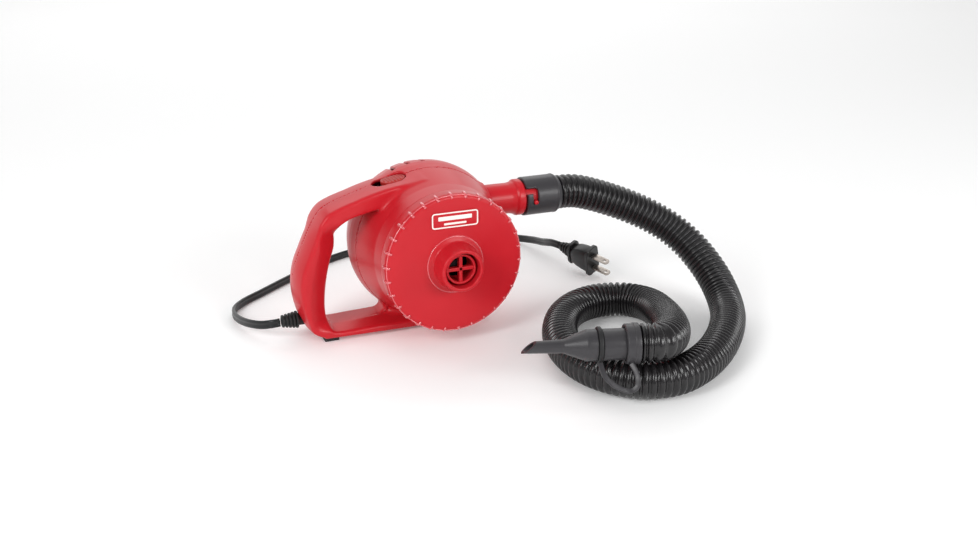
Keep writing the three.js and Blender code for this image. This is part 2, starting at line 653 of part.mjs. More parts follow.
// ---------- hose, nozzle ----------
const HOSE_ROUTE = [
  [112.4, 0, 95.5], [120, 0, 95.6], [130, -0.4, 94.6], [144, -2.2, 90.8], [159, -5.5, 85.6],
  [174, -10.5, 79.6], [190, -18.5, 71.8], [204.5, -29, 62.4], [215.5, -42, 51.4], [222, -57, 39.8],
  [224.5, -74, 28.2],
  [221.5, -93, 18.6], [212, -114, 14.4], [197, -136, 14], [179, -157, 14], [158.5, -176, 14],
  [136, -191, 14], [113, -199.5, 14], [92, -197, 14], [75, -184, 14], [64.5, -165, 14], [61, -142, 14],
  [64, -117, 14], [73.5, -92, 14], [89, -69, 14], [108.5, -54, 14], [129, -49, 14], [147, -54.5, 14.6],
  [157, -68.5, 15.8], [158.6, -86, 18], [154, -107, 21], [145.5, -131, 25.5], [135, -153, 31],
  [123.5, -173, 36], [110.5, -190, 40.2], [98, -198.7, 42.4], [84.5, -194.6, 42.4],
];
const NOZZLE_TURN = THREE.MathUtils.degToRad(180 - 16.8);   // the nozzle points to -X, turned to +Y

// Parts of the nozzle are built along +X from the hose's end at 0.
function atHoseEnd(geometry) {
  geometry.rotateZ(NOZZLE_TURN);
  geometry.translate(...HOSE_ROUTE[HOSE_ROUTE.length - 1]);
  return solid(geometry);
}

// A turned piece about the nozzle's axis: [radius, distance from the hose's end] pairs.
function turnedAtHoseEnd(profile, segments = 16) {
  const points = profile.map(([r, x]) => new THREE.Vector2(r, x));
  if (THREE.ShapeUtils.area(points) < 0) points.reverse();
  points.push(points[0].clone());
  const geometry = new THREE.LatheGeometry(points, segments);
  geometry.rotateZ(-Math.PI / 2);
  return atHoseEnd(geometry);
}

function nozzle() {
  const body = turnedAtHoseEnd([
    [9.2, 4], [11.2, 4], [11.2, 26.4], [10.6, 26.4], [10.6, 30.4], [11.3, 30.4], [11.3, 38.5],
    [5.3, 54], [4.3, 83.5], [3, 83.5], [3.4, 53], [9.2, 37.5],
  ]);
  const slant = new THREE.BoxGeometry(30, 20, 12);
  slant.translate(0, 0, 6);
  slant.rotateY(THREE.MathUtils.degToRad(38));
  slant.translate(76.5, 0, 1);
  return body.subtract(atHoseEnd(slant));
}

add('hose', tube(HOSE_ROUTE, HOSE_R, 8, 52, HOSE_BORE_R), blackRubber);
add('hose_end_cuff', turnedAtHoseEnd([[11.6, 0.8], [14.7, 0.8], [14.7, 10.5], [11.6, 10.5]]), darkPlastic);
add('nozzle', nozzle(), darkPlastic);
add('nozzle_seal_ring', turnedAtHoseEnd([[10.9, 26.8], [12.8, 26.8], [12.8, 30], [10.9, 30]]), blackRubber);

// The strap that keeps the nozzle with the hose: [along the nozzle, towards the front, up] points.
const TETHER_ROUTE = [
  [28.4, 8.2, -11.3], [27, 13.5, -16.2], [22.4, 17, -21.4], [15.5, 19, -25.4], [8.6, 19.6, -26.8],
  [4.4, 19.4, -23.8], [3.9, 17, -18.4], [4.8, 13.2, -14.4], [6.4, 10.6, -12.4],
];

function tether() {
  const curve = new THREE.CatmullRomCurve3(TETHER_ROUTE.map((p) => new THREE.Vector3(...p)));
  const strap = new THREE.Shape(roundedRectangle(4.4, 1.6, 0.5).getPoints(1));
  return atHoseEnd(new THREE.ExtrudeGeometry(strap, { steps: 20, extrudePath: curve, bevelEnabled: false }));
}

add('nozzle_tether', tether(), darkPlastic);

export default pump;
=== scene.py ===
"""Looks of the electric air mattress pump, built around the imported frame.

Sizes in this script are millimetres until a mesh is made; the scene itself is in metres.
"""
import math

import bmesh
import bpy
import numpy as np
from mathutils import Matrix, Vector


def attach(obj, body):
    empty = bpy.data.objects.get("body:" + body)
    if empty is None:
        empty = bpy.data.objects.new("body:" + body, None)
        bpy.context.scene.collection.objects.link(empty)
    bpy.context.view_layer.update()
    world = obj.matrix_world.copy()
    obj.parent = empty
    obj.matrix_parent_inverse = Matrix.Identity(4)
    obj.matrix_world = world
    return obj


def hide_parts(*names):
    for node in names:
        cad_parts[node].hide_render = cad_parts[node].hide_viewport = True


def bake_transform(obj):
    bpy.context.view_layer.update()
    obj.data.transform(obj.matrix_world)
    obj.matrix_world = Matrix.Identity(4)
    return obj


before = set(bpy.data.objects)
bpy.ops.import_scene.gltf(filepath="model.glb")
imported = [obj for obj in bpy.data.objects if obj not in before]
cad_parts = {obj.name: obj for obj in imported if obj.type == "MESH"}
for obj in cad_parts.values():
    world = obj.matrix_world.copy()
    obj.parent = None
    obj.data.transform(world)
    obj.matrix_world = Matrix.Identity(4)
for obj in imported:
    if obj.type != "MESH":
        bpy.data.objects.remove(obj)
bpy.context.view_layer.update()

MM = 0.001

# ---------- driving dimensions, as in the frame; the drum's skin is up to 1 mm fuller ----------
AXIS_Z = 67.0
WALL = 2.5
DRUM_SKIN = [
    (54, -46), (54.3, -44), (55.5, -29), (57.9, -18), (60, -8), (61.6, 0), (63.1, 8), (63.5, 13),
    (62.9, 20), (59.6, 33), (55.5, 40), (50, 45.3), (43, 49), (34, 51),
]                             # radius and y of the turned skin, from the cover to the back
DRUM_BACK_Y = 51.0
COVER_BACK_Y = -44.0
COVER_FACE_Y = -58.0
COVER_R = 55.3
COLLAR_TIP_Y = -76.0
COLLAR_BASE_R = 19.0
COLLAR_TIP_R = 16.6
COLLAR_BORE_R = 13.7
COLLAR_BEAD_R = 22.4
GRIP_RIBS = 30
RIB_PHASE = 0.69              # where the first bar stands, in bar pitches from +X
OUTLET_Z = 95.5
OUTLET_R = 12.8
CUFF_START_X = 80.0
CUFF_END_X = 112.0
CUFF_R = 15.9
CUFF_TAPER = 3.4              # length of the cuff's tapered end
SPIGOT_END_X = 98.0
PIN_R = 1.8
PIN_X = 87.3
PIN_ANGLE = -6.0              # degrees around the outlet, from -Y towards +Z
TWIST = 36.0
HOSE_R = 14.0
HOSE_BORE_R = 11.4
HOSE_PITCH = 4.6
LEAD_WIDTH = 7.0
LEAD_THICK = 3.5
GLAND_Z = 16.8
SWITCH_AT = (-33.0, 121.9)
SWITCH_TILT = math.radians(9)
PLUG_AT = (166.8, 33.3, 16.0)
PLUG_TURN = (math.radians(20), math.radians(8.5), math.radians(-65))   # about X, Y and Z
BLADE_GAP = 12.7
NOZZLE_TURN = math.radians(180 - 16.8)

# ---------- camera ----------
CAMERA_AT = (-299.9, -849.5, 374.3)
CAMERA_AZIMUTH = math.radians(-22.5)
CAMERA_ELEVATION = math.radians(20.5)
SENSOR_WIDTH = 36
FOCAL_LENGTH = 43.4

camera_data = bpy.data.cameras.new("camera")
camera_data.sensor_width = SENSOR_WIDTH
camera_data.lens = FOCAL_LENGTH
camera = bpy.data.objects.new("camera", camera_data)
camera.location = Vector(CAMERA_AT) * MM
camera.rotation_euler = (math.pi / 2 - CAMERA_ELEVATION, 0, CAMERA_AZIMUTH)
bpy.context.collection.objects.link(camera)
bpy.context.scene.camera = camera
bpy.context.scene.view_settings.view_transform = "Standard"


# ---------- materials ----------
def plastic(name, colour, roughness, *, second=None, patch=18, grain=900, bump=0.05, specks=0.05,
            coat=0.0, metallic=0.0, specular=0.5):
    """A moulded surface: slow colour drift, small gloss changes and a fine grain."""
    material = bpy.data.materials.new(name)
    material.use_nodes = True
    nodes = material.node_tree.nodes
    links = material.node_tree.links
    shader = nodes["Principled BSDF"]
    shader.inputs["Metallic"].default_value = metallic
    shader.inputs["Coat Weight"].default_value = coat
    shader.inputs["Coat Roughness"].default_value = 0.12
    shader.inputs["Specular IOR Level"].default_value = specular
    place = nodes.new("ShaderNodeTexCoord")

    drift = nodes.new("ShaderNodeTexNoise")
    drift.inputs["Scale"].default_value = patch
    drift.inputs["Detail"].default_value = 4
    links.new(place.outputs["Object"], drift.inputs["Vector"])
    tint = nodes.new("ShaderNodeValToRGB")
    tint.color_ramp.elements[0].position = 0.3
    tint.color_ramp.elements[1].position = 0.7
    tint.color_ramp.elements[0].color = (*colour, 1)
    tint.color_ramp.elements[1].color = (*(second or [c * 0.9 for c in colour]), 1)
    links.new(drift.outputs["Fac"], tint.inputs["Fac"])
    links.new(tint.outputs["Color"], shader.inputs["Base Color"])

    smear = nodes.new("ShaderNodeTexNoise")
    smear.inputs["Scale"].default_value = patch * 3
    smear.inputs["Detail"].default_value = 6
    links.new(place.outputs["Object"], smear.inputs["Vector"])
    gloss = nodes.new("ShaderNodeMapRange")
    gloss.inputs["To Min"].default_value = roughness - specks
    gloss.inputs["To Max"].default_value = roughness + specks
    links.new(smear.outputs["Fac"], gloss.inputs["Value"])
    links.new(gloss.outputs["Result"], shader.inputs["Roughness"])

    fine = nodes.new("ShaderNodeTexNoise")
    fine.inputs["Scale"].default_value = grain
    fine.inputs["Detail"].default_value = 3
    links.new(place.outputs["Object"], fine.inputs["Vector"])
    relief = nodes.new("ShaderNodeBump")
    relief.inputs["Strength"].default_value = bump
    relief.inputs["Distance"].default_value = 0.0003
    links.new(fine.outputs["Fac"], relief.inputs["Height"])
    links.new(relief.outputs["Normal"], shader.inputs["Normal"])
    return material


red = plastic("red_abs", (0.55, 0.014, 0.023), 0.3, second=(0.52, 0.012, 0.020), specular=0.28)
# Paler pink base colour than the red body: a painted highlight for the cover's bars and beads; the full coat
# and specular make them glossier as well
glossy_red_painted_highlight = plastic("red_abs_glossy_painted_highlight", (0.70, 0.08, 0.10), 0.2, specular=1.0, coat=1.0, specks=0.02,
                       bump=0.0)
orange = plastic("orange_abs", (0.45, 0.022, 0.018), 0.45, specular=0.3)
white = plastic("white_print", (0.95, 0.9, 0.85), 0.5)
hose_black = plastic("hose_polythene", (0.013, 0.012, 0.013), 0.24, patch=60, bump=0.015, specular=0.5)
cuff_grey = plastic("cuff_polypropylene", (0.042, 0.040, 0.044), 0.36, patch=40, bump=0.08, specular=0.4)
cord_black = plastic("cord_pvc", (0.010, 0.010, 0.011), 0.34, patch=50, specular=0.4)
rubber = plastic("rubber", (0.012, 0.012, 0.013), 0.55, bump=0.2, specular=0.4)
fan_nylon = plastic("fan_nylon", (0.02, 0.021, 0.024), 0.5)
phenolic = plastic("phenolic", (0.015, 0.015, 0.016), 0.5)
nickel = plastic("nickel", (0.50, 0.45, 0.41), 0.32, metallic=1.0, patch=120)
steel = plastic("zinc_steel", (0.5, 0.5, 0.51), 0.35, metallic=1.0, patch=90)
lamination = plastic("lamination", (0.18, 0.19, 0.2), 0.45, metallic=0.9, patch=200)
copper = plastic("copper", (0.5, 0.19, 0.08), 0.32, metallic=1.0, patch=200)
brass = plastic("brass", (0.55, 0.38, 0.13), 0.32, metallic=1.0, patch=90)
carbon = plastic("carbon", (0.03, 0.03, 0.031), 0.7)
black_oxide = plastic("black_oxide_steel", (0.03, 0.03, 0.032), 0.45, metallic=0.7)

INNER_PARTS = {
    lamination: ["motor_field_core", "armature_core"],
    copper: ["field_coil_upper", "field_coil_lower", "armature_windings", "commutator"],
    brass: ["front_bearing", "rear_bearing", "brush_holder_left", "brush_holder_right"],
    carbon: ["carbon_brush_left", "carbon_brush_right"],
    steel: ["motor_front_bracket", "motor_rear_bracket", "motor_screw_1", "motor_screw_2",
            "brush_spring_left", "brush_spring_right"],
    black_oxide: ["motor_shaft", "impeller_nut"],
    fan_nylon: ["impeller"],
    phenolic: ["divider_plate", "switch_block"],
    cuff_grey: ["cord_clamp"],
}
for inner_material, names in INNER_PARTS.items():
    for node in names:
        for material_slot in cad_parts[node].material_slots:
            material_slot.material = inner_material


# ---------- meshes ----------
def mesh_piece(name, points, faces, material, body, *, slot, replaces, smooth=True):
    """A piece from points in millimetres; it rides on a body of the frame, unless `body` is None."""
    mesh = bpy.data.meshes.new(name)
    mesh.from_pydata((np.asarray(points, float) * MM).tolist(), [], faces)
    mesh.validate()
    shape = bmesh.new()
    shape.from_mesh(mesh)
    bmesh.ops.recalc_face_normals(shape, faces=shape.faces)
    shape.to_mesh(mesh)
    shape.free()
    mesh.materials.append(material)
    mesh.polygons.foreach_set("use_smooth", [smooth] * len(mesh.polygons))
    piece = bpy.data.objects.new(name, mesh)
    bpy.context.collection.objects.link(piece)
    if body:
        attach(piece, body)
    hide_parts(*replaces)
    return piece


def modified(piece, kind, **settings):
    """Adds a modifier and applies it, so the piece keeps a plain mesh."""
    modifier = piece.modifiers.new(kind.lower(), kind)
    for key, value in settings.items():
        setattr(modifier, key, value)
    graph = bpy.context.evaluated_depsgraph_get()
    mesh = bpy.data.meshes.new_from_object(piece.evaluated_get(graph))
    piece.modifiers.clear()
    piece.data = mesh
    return piece


def sharpen(piece, degrees=35):
    """Keeps edges above an angle sharp under smooth shading."""
    piece.data.set_sharp_from_angle(angle=math.radians(degrees))
    return piece


def ring_faces(rings, around, loop=False):
    """Faces of `rings` rings with `around` points each: a loop, or a tube with capped ends."""
    faces = []
    last = rings if loop else rings - 1
    for i in range(last):
        j = (i + 1) % rings
        for k in range(around):
            n = (k + 1) % around
            faces.append((i * around + k, i * around + n, j * around + n, j * around + k))
    if not loop:
        faces.append(tuple(range(around))[::-1])
        faces.append(tuple((rings - 1) * around + k for k in range(around)))
    return faces


def combined(*parts):
    """Points and faces of several parts as one mesh."""
    points, faces = [], []
    for more_points, more_faces in parts:
        faces += [tuple(i + len(points) for i in face) for face in more_faces]
        points += [tuple(p) for p in more_points]
    return points, faces


def block(low, high):
    """A plain box between two corners."""
    corners = [(x, y, z) for x in (low[0], high[0]) for y in (low[1], high[1]) for z in (low[2], high[2])]
    return corners, [(0, 1, 3, 2), (4, 6, 7, 5), (0, 4, 5, 1), (2, 3, 7, 6), (0, 2, 6, 4), (1, 5, 7, 3)]


def prism(outline, y0, y1, hole=None):
    """A plate in the XZ plane from y0 to y1; its hole, if any, has as many corners as its outline."""
    count = len(outline)
    rings = [(outline, y0), (outline, y1)] + ([(hole, y1), (hole, y0)] if hole else [])
    points = [(x, y, z) for ring, y in rings for x, z in ring]
    return points, ring_faces(len(rings), count, loop=bool(hole))


def rounded_rectangle(centre, width, height, radius, steps=5):
    """Corners [x, z] of a rectangle with rounded corners."""
    out = []
    for i, (side_x, side_z) in enumerate(((1, 1), (-1, 1), (-1, -1), (1, -1))):
        for t in np.linspace(i, i + 1, steps + 1) * math.pi / 2:
            out.append((centre[0] + side_x * (width / 2 - radius) + radius * math.cos(t),
                        centre[1] + side_z * (height / 2 - radius) + radius * math.sin(t)))
    return out


def lofted(stations, place, around=40, power=4.0):
    """A body with an almost rectangular section through stations of [x, half width, half height]."""
    angle = np.arange(around) * 2 * math.pi / around
    across = np.sign(np.cos(angle)) * np.abs(np.cos(angle)) ** (2 / power)
    upward = np.sign(np.sin(angle)) * np.abs(np.sin(angle)) ** (2 / power)
    points = [place @ Vector((x, half_y * u, half_z * w)) for x, half_y, half_z in stations
              for u, w in zip(across, upward)]
    return points, ring_faces(len(stations), around)


def catmull(points, step):
    """Points about every `step` along a smooth curve through the route, and the curve's length."""
    p = np.asarray(points, float)
    p = np.vstack([2 * p[0] - p[1], p, 2 * p[-1] - p[-2]])
    dense = []
    for a, b, c, d in zip(p[:-3], p[1:-2], p[2:-1], p[3:]):
        knots = np.cumsum([0] + [np.linalg.norm(v) ** 0.5 for v in (b - a, c - b, d - c)])
        for t in np.linspace(knots[1], knots[2], 24, endpoint=False):
            ab = a + (b - a) * (t - knots[0]) / (knots[1] - knots[0])
            bc = b + (c - b) * (t - knots[1]) / (knots[2] - knots[1])
            cd = c + (d - c) * (t - knots[2]) / (knots[3] - knots[2])
            abc = ab + (bc - ab) * (t - knots[0]) / (knots[2] - knots[0])
            bcd = bc + (cd - bc) * (t - knots[1]) / (knots[3] - knots[1])
            dense.append(abc + (bcd - abc) * (t - knots[1]) / (knots[2] - knots[1]))
    dense = np.array(dense + [p[-2]])
    run = np.concatenate([[0], np.cumsum(np.linalg.norm(np.diff(dense, axis=0), axis=1))])
    count = max(2, round(run[-1] / step) + 1)
    places = np.linspace(0, run[-1], count)
    return np.stack([np.interp(places, run, dense[:, i]) for i in range(3)], 1), run[-1]


def route_frames(path, up=(0, 0, 1), level=False):
    """Side and top directions along a path, carried on without twist, or kept level."""
    along = np.gradient(path, axis=0)
    along /= np.linalg.norm(along, axis=1)[:, None]
    top = np.array(up, float)
    sides, tops = [], []
    for direction in along:
        if level:
            top = np.array(up, float)
        top = top - direction * top.dot(direction)
        top /= np.linalg.norm(top)
        tops.append(top)
        sides.append(np.cross(direction, top))
    return np.array(sides), np.array(tops)


def swept(path, section, scale=None, level=False, up=(0, 0, 1)):
    """Rings of a section [side, top] carried along a path; scale is one number per ring."""
    sides, tops = route_frames(path, up, level)
    section = np.asarray(section, float)
    scale = np.ones(len(path)) if scale is None else scale
    rings = path[:, None] + scale[:, None, None] * (
        section[None, :, :1] * sides[:, None] + section[None, :, 1:] * tops[:, None])
    return rings.reshape(-1, 3)


def lathe(profile, around, place):
    """A turned piece: [radius, distance along +X] pairs, carried to its place by `place`."""
    profile = np.asarray(profile, float)
    angle = np.arange(around) * 2 * math.pi / around
    rings = np.stack([
        np.repeat(profile[:, 1], around),
        (profile[:, :1] * np.cos(angle)).ravel(),
        (profile[:, :1] * np.sin(angle)).ravel()], 1)
    return [place @ Vector(p) for p in rings]


def rounded(profile, radius, steps=4):
    """A profile with its corners rounded, so that edges catch the light."""
    points = [np.asarray(p, float) for p in profile]
    out = [points[0]]
    for before, corner, after in zip(points, points[1:], points[2:]):
        a, b = before - corner, after - corner
        reach = min(radius, np.linalg.norm(a) * 0.45, np.linalg.norm(b) * 0.45)
        start = corner + a / np.linalg.norm(a) * reach
        end = corner + b / np.linalg.norm(b) * reach
        for t in np.linspace(0, 1, steps + 1):
            out.append((1 - t) ** 2 * start + 2 * t * (1 - t) * corner + t * t * end)
    out.append(points[-1])
    return np.array(out)


def turned(name, profile, around, place, material, body, *, closed=False, **more):
    """A turned piece; `closed` joins the profile's end to its start, else its ends are capped."""
    points = lathe(profile, around, place)
    faces = ring_faces(len(profile), around, loop=closed)
    return sharpen(mesh_piece(name, points, faces, material, body, **more))


ALONG_Y = Matrix.Translation((0, 0, AXIS_Z)) @ Matrix.Rotation(math.pi / 2, 4, "Z")
AT_OUTLET = Matrix.Translation((0, 0, OUTLET_Z))

# ---------- the hose and the lead, along the frame's routes ----------
HOSE_ROUTE = [
    (112.4, 0, 95.5), (120, 0, 95.6), (130, -0.4, 94.6), (144, -2.2, 90.8), (159, -5.5, 85.6),
    (174, -10.5, 79.6), (190, -18.5, 71.8), (204.5, -29, 62.4), (215.5, -42, 51.4), (222, -57, 39.8),
    (224.5, -74, 28.2), (221.5, -93, 18.6), (212, -114, 14.4), (197, -136, 14), (179, -157, 14),
    (158.5, -176, 14), (136, -191, 14), (113, -199.5, 14), (92, -197, 14), (75, -184, 14),
    (64.5, -165, 14), (61, -142, 14), (64, -117, 14), (73.5, -92, 14), (89, -69, 14), (108.5, -54, 14),
    (129, -49, 14), (147, -54.5, 14.6), (157, -68.5, 15.8), (158.6, -86, 18), (154, -107, 21),
    (145.5, -131, 25.5), (135, -153, 31), (123.5, -173, 36), (110.5, -190, 40.2), (98, -198.7, 42.4),
    (84.5, -194.6, 42.4),
]
LEAD_ROUTE = [
    (-125.1, 0, 16.2), (-131, 0.8, 15.6), (-138, 7.5, 13.2), (-145, 20.4, 10.6), (-149.5, 38, 7.6),
    (-150.4, 57, 5.2), (-146.5, 73, 4), (-136.5, 86, 3.7), (-120, 99.5, 3.7), (-104, 113, 3.7),
    (-87, 127, 3.7), (-64, 146, 3.7), (-37, 164, 3.7), (-10, 175, 3.7), (22, 181, 3.7), (56, 182, 3.7),
    (88, 178.5, 3.7), (115, 170, 3.7), (134, 158, 3.9), (145.5, 141, 6.2), (149.2, 121, 10.4),
    (148, 101, 15.2), (146.6, 87, 19.4), (147.3, 76.6, 21.9), (150.3, 68.7, 21.8),
]
AT_HOSE_END = Matrix.Translation(HOSE_ROUTE[-1]) @ Matrix.Rotation(NOZZLE_TURN, 4, "Z")


def hose():
    """A blow-moulded tube: rounded rings with narrow valleys between them. Returns its length."""
    ring = [(0.0, 12.1), (0.1, 12.2), (0.19, 13.0), (0.29, 13.7), (0.42, HOSE_R), (0.58, HOSE_R),
            (0.71, 13.7), (0.81, 13.0), (0.9, 12.2)]
    around = 36
    path, length = catmull(HOSE_ROUTE, 0.5)
    run = np.linspace(0, length, len(path))
    turns = round(length / HOSE_PITCH)
    places = np.array([(i + share) * length / turns for i in range(turns) for share, _ in ring])
    radii = np.array([r for _ in range(turns) for _, r in ring])
    centre = np.stack([np.interp(places, run, path[:, i]) for i in range(3)], 1)
    angle = np.arange(around) * 2 * math.pi / around
    section = np.stack([np.cos(angle), np.sin(angle)], 1)
    points = swept(centre, section, radii)
    piece = mesh_piece("corrugated_hose", points, ring_faces(len(centre), around), hose_black,
                       "pump_body", slot="hose_plastic", replaces=["hose"])
    return length


def lead():
    """A flat twin lead, standing on its edge as it curves over the floor. Returns its length."""
    lobe = LEAD_THICK / 2
    shift = (LEAD_WIDTH - LEAD_THICK) / 2
    groove = 0.75             # radians past the middle at which the two lobes meet
    upper = [(lobe * math.cos(a), shift + lobe * math.sin(a))
             for a in np.linspace(-groove, math.pi + groove, 12)]
    lower = [(-x, -z) for x, z in upper]
    path, length = catmull(LEAD_ROUTE, 2.0)
    points = swept(path, upper + lower, level=True)
    piece = mesh_piece("mains_lead", points, ring_faces(len(path), len(upper) * 2), cord_black, "pump_body",
                       slot="black_plastic", replaces=["power_cord"])
    return length


# ---------- housing, as one smooth field cut into two halves ----------
HANDLE_CORNERS = [
    (-84, 2), (-95, 3.6), (-103.8, 9), (-109.8, 20), (-113.3, 34), (-114, 47), (-111.8, 60),
    (-106.5, 73), (-100.5, 86), (-94, 98), (-87.5, 105.4), (-78, 110), (-66, 113.8), (-50, 118.6),
    (-34, 121.9), (-18, 123.5), (-6, 122.8), (2, 100), (20, 50), (44, 30), (43, 12), (36, 2),
]
HAND_HOLE = [
    (-32, 106.8), (-46, 104.4), (-62, 101), (-71, 98.4), (-77.5, 94), (-80.3, 87), (-80.4, 80.5),
    (-81.2, 73.5), (-84.3, 63.5), (-87.1, 52), (-89.1, 40), (-90, 28), (-89.4, 17.5), (-86.5, 12),
    (-80, 10.3), (-50, 11), (-42.5, 11.8), (-39.5, 16), (-40.5, 26), (-42, 40), (-36, 70),
]
MAP_STEP = 0.5
HANDLE_MAP_LOW = np.array([-125.0, -10.0])
HANDLE_MAP_SIZE = (420, 300)
SKIN_MAP_LOW = np.array([-10.0, -80.0])
SKIN_MAP_SIZE = (170, 290)


def closed_curve(corners):
    """Points along a smooth closed curve through the corners, six to each."""
    p = np.asarray(corners, float)
    t = np.arange(6)[:, None] / 6
    out = []
    for i in range(len(p)):
        a, b, c, d = (p[(i + k) % len(p)] for k in (-1, 0, 1, 2))
        out.append(0.5 * (2 * b + (c - a) * t + (2 * a - 5 * b + 4 * c - d) * t ** 2
                          + (3 * b - a - 3 * c + d) * t ** 3))
    return np.vstack(out)


def distance_map(line, low, size):
    """Signed distance to a closed outline on a grid; negative inside."""
    grid = low + MAP_STEP * np.stack(np.meshgrid(np.arange(size[0]), np.arange(size[1]), indexing="ij"), -1)
    best = np.full(size, 1e9)
    inside = np.zeros(size, bool)
    for a, b in zip(line, np.roll(line, -1, axis=0)):
        edge = b - a
        offset = grid - a
        t = np.clip((offset @ edge) / (edge @ edge), 0, 1)
        best = np.minimum(best, np.hypot(*np.moveaxis(offset - t[..., None] * edge, -1, 0)))
        if a[1] != b[1]:
            crosses = (a[1] > grid[..., 1]) != (b[1] > grid[..., 1])
            at = a[0] + (grid[..., 1] - a[1]) * edge[0] / edge[1]
            inside ^= crosses & (grid[..., 0] < at)
    return np.where(inside, -best, best)


def looked_up(table, low, u, v):
    """Bilinear reading of a distance map whose first point is at `low`."""
    u = np.clip((u - low[0]) / MAP_STEP, 0, table.shape[0] - 1.001)
    v = np.clip((v - low[1]) / MAP_STEP, 0, table.shape[1] - 1.001)
    i, j = u.astype(int), v.astype(int)
    u, v = u - i, v - j
    return ((1 - u) * (1 - v) * table[i, j] + u * (1 - v) * table[i + 1, j]
            + (1 - u) * v * table[i, j + 1] + u * v * table[i + 1, j + 1])


def smooth_max(a, b, k):
    """The larger of two values, with the crease between them rounded over a width k."""
    h = np.maximum(k - np.abs(a - b), 0) / k
    return np.maximum(a, b) + h * h * k / 4


def smooth_min(a, b, k):
    return -smooth_max(-a, -b, k)


def ease(value, low, high):
    """0 below low, 1 above high and a smooth step between them."""
    t = np.clip((value - low) / (high - low), 0, 1)
    return t * t * (3 - 2 * t)


OUTLINE_MAP = distance_map(closed_curve(HANDLE_CORNERS), HANDLE_MAP_LOW, HANDLE_MAP_SIZE)
HOLE_MAP = distance_map(closed_curve(HAND_HOLE), HANDLE_MAP_LOW, HANDLE_MAP_SIZE)
SKIN_MAP = distance_map(np.array([(-30, -90), (53.6, -90), *DRUM_SKIN, (-30, DRUM_BACK_Y)]),
                        SKIN_MAP_LOW, SKIN_MAP_SIZE)
HANDLE_HALF = 18.6            # half width of the handle and the base
GRIP_TAPER = 11.5             # how far each side of the grip draws in at the hand hole
GRIP_TAPER_REACH = 15.0       # how far from the hole it begins to
BASE_DROP = 2.6               # fall of the base's top towards the front
HOLE_RIGHT_X = -50.0          # from here on, the hole's low front is stretched towards the drum
SCREWS = [                    # x and z of each housing screw, and the y of its head's top
    (-87.3, 95.8, 15), (-98.5, 15, 15), (24.2, AXIS_Z + 48.3, 30), (38.2, AXIS_Z - 38.2, 30),
]
SCREW_RECESS_R = 4.2
SEAM = 0.03                   # gap between each half and the plane where they part
BOSS_R = 14.2
BOSS_X = (20, 47)
RECESS_R = 8.5
RECESS_REACH = 5.6            # from the switch recess's middle to the middle of its round ends
RECESS_DEPTH = 3.0
VENTS = 3
VENT_START = 89               # degrees around the shaft, from +X towards +Z
VENT_PITCH = 11.5
VENT_HALF = 1.6
VENT_Y = (14, 45)
VENT_INNER_R = 50


def handle_field(x, y, z):
    """The D handle with its base: a drafted plate whose grip narrows towards the hand hole."""
    edge = looked_up(OUTLINE_MAP, HANDLE_MAP_LOW, x, z)
    low_front = ease(-y, -4, 10) * ease(-z, -60, -40)
    past = x - HOLE_RIGHT_X
    stretched = np.where(past > 0, HOLE_RIGHT_X + past * (1 - 0.75 * low_front), x)
    hole = looked_up(HOLE_MAP, HANDLE_MAP_LOW, stretched, z)
    depth = np.minimum(np.abs(y), 22) / 19
    grip = ease(-x, 66, 84) * ease(-z, -98, -84) * ease(z, 8, 20)
    base = ease(-z, -24, -12)
    draft = (1.5 + 2.5 * grip) * depth ** 2
    half = HANDLE_HALF - GRIP_TAPER * grip * np.clip(1 - hole / GRIP_TAPER_REACH, 0, 1) ** 1.4
    drop = BASE_DROP * base * (1 - grip) * np.clip((-y - 3) / (HANDLE_HALF - 3), 0, 1)
    body = smooth_max(np.abs(y) - half, edge + draft, 2.6)
    return smooth_max(body, drop - hole, 2.5)


def drum_field(x, y, z, open_front=False):
    """The drum's turned skin; its front is cut off behind the cover or left open."""
    body = looked_up(SKIN_MAP, SKIN_MAP_LOW, np.hypot(x, z - AXIS_Z), y)
    return body if open_front else np.maximum(body, COVER_BACK_Y - y)


def outer_field(x, y, z, open_front=False):
    """Handle, drum and the outlet's boss, run together."""
    drum = drum_field(x, y, z, open_front)
    body = smooth_min(handle_field(x, y, z), drum, 3)
    boss = np.maximum(np.maximum(np.hypot(y, z - OUTLET_Z) - BOSS_R, BOSS_X[0] - x), x - BOSS_X[1])
    return smooth_min(body, boss, 4)


def cuts_field(x, y, z):
    """Recesses and holes: negative inside them."""
    u = (x - SWITCH_AT[0]) * math.cos(SWITCH_TILT) + (z - SWITCH_AT[1]) * math.sin(SWITCH_TILT)
    w = -(x - SWITCH_AT[0]) * math.sin(SWITCH_TILT) + (z - SWITCH_AT[1]) * math.cos(SWITCH_TILT)
    along = np.maximum(np.abs(u) - RECESS_REACH, 0)
    recess = np.maximum(np.hypot(along, y) - RECESS_R, -RECESS_DEPTH - w)
    slot = np.maximum(np.maximum(np.abs(u + 2) - 8.5, np.abs(y) - 3.2), -12 - w)
    cut = np.minimum(recess, slot)
    for sx, sz, head in SCREWS:
        cut = np.minimum(cut, np.maximum(np.hypot(x - sx, z - sz) - SCREW_RECESS_R, head - 3 - y))
    for i in range(VENTS):
        angle = math.radians(VENT_START + i * VENT_PITCH)
        side = x * math.sin(angle) - (z - AXIS_Z) * math.cos(angle)
        outward = x * math.cos(angle) + (z - AXIS_Z) * math.sin(angle)
        vent = [np.abs(side) - VENT_HALF, VENT_Y[0] - y, y - VENT_Y[1], VENT_INNER_R - outward]
        cut = np.minimum(cut, np.maximum.reduce(vent))
    cable = np.maximum(np.hypot(y, z - GLAND_Z) - 5.4, x + 98)
    return np.minimum(cut, cable)


def half_field(x, y, z, side):
    """One half shell: side is -1 for the front and 1 for the rear."""
    outer = outer_field(x, y, z)
    inner = outer_field(x, y, z, open_front=True) + WALL
    shell = np.maximum(outer, -inner)
    shell = smooth_max(shell, -cuts_field(x, y, z), 0.8)
    return np.maximum(shell, SEAM - side * y)


